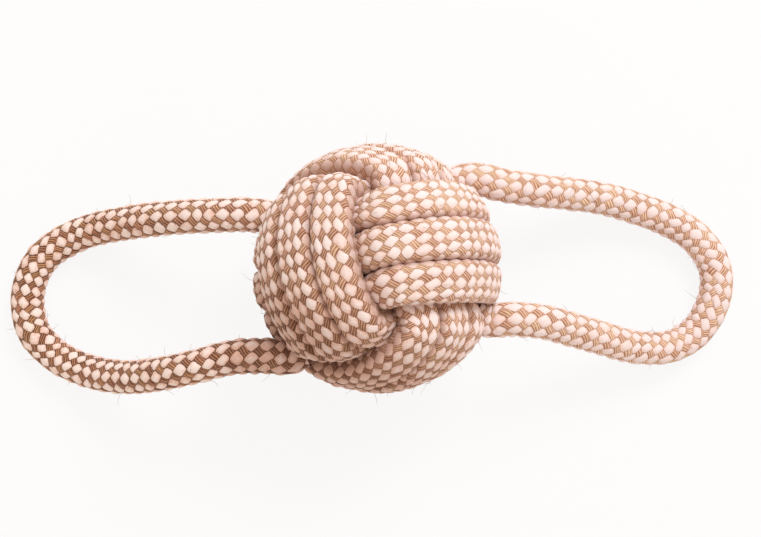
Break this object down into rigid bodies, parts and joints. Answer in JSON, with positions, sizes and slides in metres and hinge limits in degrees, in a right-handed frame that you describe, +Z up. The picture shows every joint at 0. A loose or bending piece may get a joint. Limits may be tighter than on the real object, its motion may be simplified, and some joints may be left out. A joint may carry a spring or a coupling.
{
  "type": "rope dog toy",
  "caption": "Braided rope dog toy: a ball knotted from interlocked rope coils, with a loop handle of the same rope on each side.",
  "frame": {"origin": "on the surface the toy lies on, under the middle of its overall length and width", "axes": "+X along the toy from one handle to the other, +Z up from the surface it lies on"},
  "size_m": [0.2773, 0.0924, 0.0874],
  "materials": {
    "rope": "white and tan cotton and jute yarns in a tubular braid, matt and slightly hairy",
    "rope_core": "undyed cotton and jute, squeezed together, matt"
  },
  "bodies": {
    "knot": {"first_coil": "rope", "second_coil": "rope", "third_coil": "rope", "core": "rope_core"},
    "left_handle": {"left_handle": "rope"},
    "right_handle": {"right_handle": "rope"}
  },
  "joints": [
    {"name": "left_handle_swing", "type": "hinge", "parent": "knot", "child": "left_handle", "pos_m": [-0.03441, -0.00553, 0.04616], "axis": [-0.188, 0.9673, -0.1702], "range_deg": [-35, 45]},
    {"name": "right_handle_swing", "type": "hinge", "parent": "knot", "child": "right_handle", "pos_m": [0.03861, 0.00754, 0.03976], "axis": [0.188, -0.9673, 0.1702], "range_deg": [-50, 40]}
  ]
}
